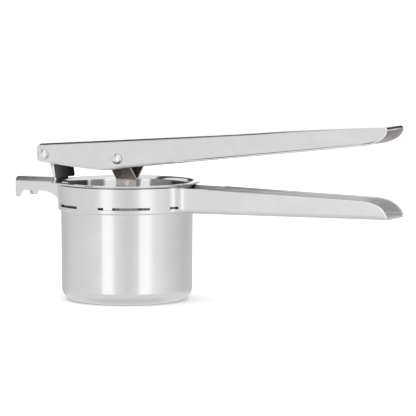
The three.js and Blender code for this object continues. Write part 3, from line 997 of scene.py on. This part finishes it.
def make_bracket_rivets():
    shank, head, foot, chamfer = 1.5, 2.5, 0.12, 0.1
    start, reach = RING_RADIUS - SHEET + 0.15, RING_RADIUS + 2 * GAP + SHEET
    profile = [(0, start), (shank - chamfer, start), (shank, start + chamfer), (shank, reach)]
    profile += [(head - 0.05, reach)] + [(r, reach + foot + z) for r, z in dome(head, 0.8, 6)]
    for side in ("near", "far"):
        low, high = millimetres(f"bracket_rivet_{side}")
        centre = [(a + b) / 2 for a, b in zip(low, high)]
        turn = math.atan2(centre[1], centre[0])
        cos, sin, height = math.cos(turn), math.sin(turn), centre[2] * MM
        obj = lathe_object(f"bracket_rivet_head_{side}", profile, 24)
        move_points(obj, lambda x, y, z: (z * cos - x * sin, z * sin + x * cos, y + height))
        finish_piece(obj, "frame", "rivet_steel", [RIVET_STEEL], f"bracket_rivet_{side}")


# ---- plunger ----
STRAP_HALF = (STRAP_HIGH[0] - STRAP_LOW[0]) / 2
STRAP_X = (STRAP_HIGH[0] + STRAP_LOW[0]) / 2
EAR_CENTRE = STRAP_HIGH[2] - STRAP_HALF  # height of the middle of the ear's round end
SPLIT, SPREAD = 76.6, 86.6  # heights between which the straps lean apart
FOOT_BEND = 1.6
RIB_HALF, RIB_RISE, RIB_TOP = 2.3, 0.9, 76.0
RIB_BOTTOM = STRAP_LOW[2] + 4
RIB_FADE = 3  # height over which the rib starts
STRAP_PARTS = [-1, -0.9, -0.6, -0.42, -0.34, -0.28, -0.2, -0.1, 0,
               0.1, 0.2, 0.28, 0.34, 0.42, 0.6, 0.9, 1]


def strap_line():
    """Centre-side face of a strap, as (y, z) from the foot's end up to the ear."""
    foot = STRAP_LOW[2] + SHEET
    stem = GAP / 2 + SHEET
    line = [(STRAP_HIGH[1], foot), (STRAP_HIGH[1] - 4, foot)]
    line += arc(stem + FOOT_BEND, foot + FOOT_BEND, FOOT_BEND, 270, 180, 6)
    line += [(stem, z) for z in spread(foot + FOOT_BEND + 0.4, SPLIT - 1.2, 2.0)]
    line += curve((stem, SPLIT - 0.8), (stem, SPLIT + 0.1), (stem + 0.85, SPLIT + 0.75), 5)
    line += [(stem + 1.4, SPLIT + 1.2), (EAR_FACE - 1.6, SPREAD - 1.0)]
    line += curve((EAR_FACE - 1.1, SPREAD - 0.6), (EAR_FACE, SPREAD + 0.2),
                  (EAR_FACE, SPREAD + 1.4), 5)
    line += [(EAR_FACE, z) for z in spread(SPREAD + 2.0, EAR_CENTRE, 1.6)]
    turns = [math.pi / 2 * i / 10 for i in range(1, 11)]
    return line + [(EAR_FACE, EAR_CENTRE + STRAP_HALF * math.sin(turn)) for turn in turns]


def rib_rise(across, z):
    """How far the rib stands out, off the stem's middle and at a height."""
    if not RIB_BOTTOM < z < RIB_TOP:
        return 0.0
    over = max(0.0, (z - RIB_TOP + RIB_HALF) / RIB_HALF)
    end = min(1.0, math.sqrt(max(0.0, 1 - over ** 2)))
    start = min(1.0, (z - RIB_BOTTOM) / RIB_FADE)
    reach = RIB_HALF * end
    if abs(across) >= reach:
        return 0.0
    return RIB_RISE * end * start * math.cos(across / reach * math.pi / 2)


def make_strap(side, sign):
    """Strap on one side, with a rib down its outer face."""
    rows = []
    for y, z in strap_line():
        over = max(0.0, z - EAR_CENTRE)
        half = math.sqrt(max(STRAP_HALF ** 2 - over ** 2, 0.01))
        rows.append([(STRAP_X + f * half, sign * (y + rib_rise(f * STRAP_HALF, z)), z)
                     for f in STRAP_PARTS])
    obj = grid_object(f"strap_{side}", rows)
    face_towards(obj, (STRAP_X, sign * 200, 40))
    thicken(obj)
    soften(obj, 0.2, angle=55)
    # the straps' inner faces take the painted shade
    metals = [PLUNGER_SHADED_STEEL, PLUNGER_SHADE, STEM_SHADED_STEEL]
    finish_piece(obj, "plunger", "plunger_steel", metals, f"plunger_strap_{side}")
    # painted shade: the stems below the split take their own darkened tint
    for face in obj.data.polygons:
        if face.center.z < (SPLIT + 0.2) * MM:
            face.material_index = 2


def make_disc():
    """Dished disc with a bead round its floor and a rounded edge."""
    radius = (DISC_HIGH[0] - DISC_LOW[0]) / 2
    centre_x = (DISC_HIGH[0] + DISC_LOW[0]) / 2
    low, top = DISC_LOW[2], DISC_HIGH[2]
    corner = 8.0
    flat = radius - corner
    floor = low + SHEET
    edge = SHEET / 2
    bead = ((0.86, 0.0), (0.83, 0.25), (0.8, 0.35), (0.77, 0.25), (0.74, 0.0))
    bead = [(flat * f, h) for f, h in bead]
    profile = [(0, low), (flat * 0.6, low)] + [(r, low + h) for r, h in reversed(bead)]
    profile += [(flat - BEND_MARGIN, low)] + arc(flat, low + corner, corner, -90, 0, 12)
    profile += [(radius, top - edge)] + arc(radius - edge, top - edge, edge, 0, 180, 8)
    profile += arc(flat, low + corner, corner - SHEET, 0, -90, 12) + [(flat - BEND_MARGIN, floor)]
    profile += [(r, floor + h) for r, h in bead] + [(flat * 0.6, floor), (0, floor)]
    obj = lathe_object("disc_pressing", profile, 128, (centre_x, 0))
    finish_piece(obj, "plunger", "plunger_steel", [PLUNGER_SHADED_STEEL], "plunger_disc")


# ---- camera ----
CAMERA_TURN = math.radians(25.0)
CAMERA_DISTANCE = 1.8
CAMERA_RISE = 0.165
AIM = Vector((0.0467, 0.0218, 0.058))
LENS = 246.0


def place_at(obj, target, back):
    """Puts a camera or light at target + back, looking at the target."""
    obj.location = target + back
    obj.rotation_euler = (-back).to_track_quat("-Z", "Y").to_euler()
    bpy.context.scene.collection.objects.link(obj)


def make_camera():
    data = bpy.data.cameras.new("camera")
    data.lens = LENS
    data.sensor_width = 36
    data.clip_start, data.clip_end = 0.05, 50
    camera = bpy.data.objects.new("camera", data)
    away = Vector((math.sin(CAMERA_TURN), -math.cos(CAMERA_TURN), 0))
    place_at(camera, AIM, away * CAMERA_DISTANCE + Vector((0, 0, CAMERA_RISE)))
    bpy.context.scene.camera = camera


# ---- stage ----
FLOOR_HALF = 6000


def make_floor():
    """Plain pale floor, which the metal doesn't mirror."""
    corners = [(-FLOOR_HALF, -FLOOR_HALF, 0), (FLOOR_HALF, -FLOOR_HALF, 0),
               (FLOOR_HALF, FLOOR_HALF, 0), (-FLOOR_HALF, FLOOR_HALF, 0)]
    floor = mesh_object("floor", corners, [(0, 1, 2, 3)])
    material = bpy.data.materials.new("pale_floor")
    material.use_nodes = True
    n = Nodes(material.node_tree)
    shader = n.add("ShaderNodeBsdfDiffuse", Color=(0.9, 0.9, 0.9, 1))
    output = n.add("ShaderNodeOutputMaterial")
    n.link(shader.outputs[0], output.inputs[0])
    floor.data.materials.append(material)
    floor.visible_glossy = False


# brightness that the metal mirrors around the horizon; 0 is the photographer's side, +90 is +X
STUDIO_LEVELS = [
    (-180, 0.62), (-140, 0.58), (-127, 0.57), (-106, 0.63), (-92, 0.72), (-76, 0.745),
    (-60, 0.77), (-42, 0.80), (-26, 0.83), (-19.5, 0.87), (-16, 1.16), (-2, 1.18), (7, 0.86),
    (17, 0.79), (25, 0.74), (32, 0.74), (40, 0.79), (46, 0.86), (49.5, 1.15), (64, 1.17),
    (75, 0.94), (83, 0.88), (94, 0.82), (106, 0.75), (126, 0.66), (145, 0.60), (160, 0.60),
    (180, 0.62),
]
BELOW_HORIZON = 1.06  # times the level at the horizon
LOW_WALL = 0.80  # the other levels, from the floor up
FLOOR_LEVEL = 0.68
CEILING = 1.15
DARK_COVE, DARK_CEILING = 0.30, 0.03  # where the ceiling is dark, at its edge and above
DARK_LEAST = 0.14  # part of that darkness which reaches over the whole ceiling
OVERHEAD = 1.2
BACK_STRIP, BACK_DARK = 1.12, 0.05  # behind the ricer, at the horizon and above it
ROOM_LIGHT = 1.5  # what lights everything but the mirrored picture


def make_world():
    """White studio that the metal mirrors, and an even room light."""
    world = bpy.data.worlds.new("studio")
    bpy.context.scene.world = world
    world.use_nodes = True
    n = Nodes(world.node_tree)
    x, y, z = n.split(n.add("ShaderNodeTexCoord").outputs["Generated"])
    degrees = 180 / math.pi
    # azimuth 0 faces the photographer's side (-Y) and grows towards +X
    azimuth = n.math("MULTIPLY", n.math("ARCTAN2", x, n.math("MULTIPLY", y, -1.0)), degrees)
    elevation = n.math("MULTIPLY", n.math("ARCSINE", z), degrees)

    def rise(value, low, high):
        """0 below low, 1 above high, and soft between."""
        return n.ramp(value, low, high, 0, 1, smooth=True)

    def fall(value, low, high):
        """1 below low, 0 above high, and soft between."""
        return n.ramp(value, low, high, 1, 0, smooth=True)

    def window(value, low, high, soft):
        """1 between low and high, with soft edges."""
        entered = rise(value, low - soft, low + soft)
        return n.math("MULTIPLY", entered, fall(value, high - soft, high + soft))

    def blend(base, target, amount):
        """base moved to the number target by amount."""
        gap = n.math("SUBTRACT", target, base)
        return n.math("ADD", base, n.math("MULTIPLY", gap, amount))

    turn = n.math("ADD", n.math("DIVIDE", azimuth, 360.0), 0.5)
    profile = [((a + 180) / 360, v) for a, v in STUDIO_LEVELS]
    level = n.math("MULTIPLY", n.stops(turn, profile, 2.0), 2.0)
    level = n.math("MULTIPLY", level, n.ramp(elevation, -12.0, -4.0, BELOW_HORIZON, 1.0))
    level = blend(level, LOW_WALL, fall(elevation, -22, -12))
    level = blend(level, FLOOR_LEVEL, fall(elevation, -70, -40))
    level = blend(level, CEILING, rise(elevation, 10, 26))
    # the ceiling is dark on the pivot's side
    dark_side = n.math("MAXIMUM", window(x, -0.64, -0.46, 0.04), DARK_LEAST)
    level = blend(level, DARK_COVE, n.math("MULTIPLY", dark_side, rise(elevation, 6, 18)))
    level = blend(level, DARK_CEILING, n.math("MULTIPLY", dark_side, rise(elevation, 16, 32)))
    overhead = n.math("MULTIPLY", window(elevation, 50, 74, 5), window(azimuth, 10, 95, 12))
    level = blend(level, OVERHEAD, overhead)
    back = n.math("MAXIMUM", rise(azimuth, 108, 122), fall(azimuth, -128, -112))
    level = blend(level, BACK_STRIP, n.math("MULTIPLY", back, window(elevation, -1.5, 8.0, 1.0)))
    level = blend(level, BACK_DARK, n.math("MULTIPLY", back, window(elevation, 10, 24, 2.0)))

    mirror = n.add("ShaderNodeLightPath").outputs["Is Glossy Ray"]
    value = blend(ROOM_LIGHT, level, mirror)
    background = n.add("ShaderNodeBackground", Strength=1.0)
    shade = n.add("ShaderNodeCombineColor")
    for slot in shade.inputs[:3]:
        n.link(value, slot)
    n.link(shade.outputs[0], background.inputs["Color"])
    output = n.add("ShaderNodeOutputWorld")
    n.link(background.outputs[0], output.inputs[0])


def make_top_light():
    """Large soft light above, for the shadow under the basket."""
    data = bpy.data.lights.new("soft_top", "AREA")
    data.shape = "RECTANGLE"
    data.size, data.size_y = 1.6, 1.2
    data.energy = 4.0
    light = bpy.data.objects.new("soft_top", data)
    light.location = (0.1, -0.3, 1.6)
    light.rotation_euler = (math.radians(10), 0, 0)
    light.visible_glossy = False
    bpy.context.scene.collection.objects.link(light)


def make_fill_light():
    """Narrow light from the front on the far wall inside the basket."""
    data = bpy.data.lights.new("basket_fill", "SPOT")
    data.energy = 50.0
    data.spot_size = math.radians(4.4)
    data.spot_blend = 0.5
    data.shadow_soft_size = 0.01
    light = bpy.data.objects.new("basket_fill", data)
    light.visible_glossy = False
    rise = math.radians(9.0)
    level, up = math.cos(rise), math.sin(rise)
    away = Vector((math.sin(CAMERA_TURN) * level, -math.cos(CAMERA_TURN) * level, up))
    place_at(light, Vector((-0.017, 0.037, 0.070)), away * 1.5)


bpy.context.scene.view_settings.view_transform = "Standard"
make_camera()
make_world()
make_top_light()
make_fill_light()
make_floor()
make_basket()
make_lower_frame()
make_pot_rest()
make_pivot_bracket()
make_bracket_rivets()
make_upper_handle()
make_hems()
make_handle_rivet("pivot_rivet_body", "pivot_rivet", PIVOT)
make_handle_rivet("plunger_rivet_body", "plunger_rivet", PRESS)
make_strap("near", -1)
make_strap("far", 1)
make_disc()
make_foot_rivets()
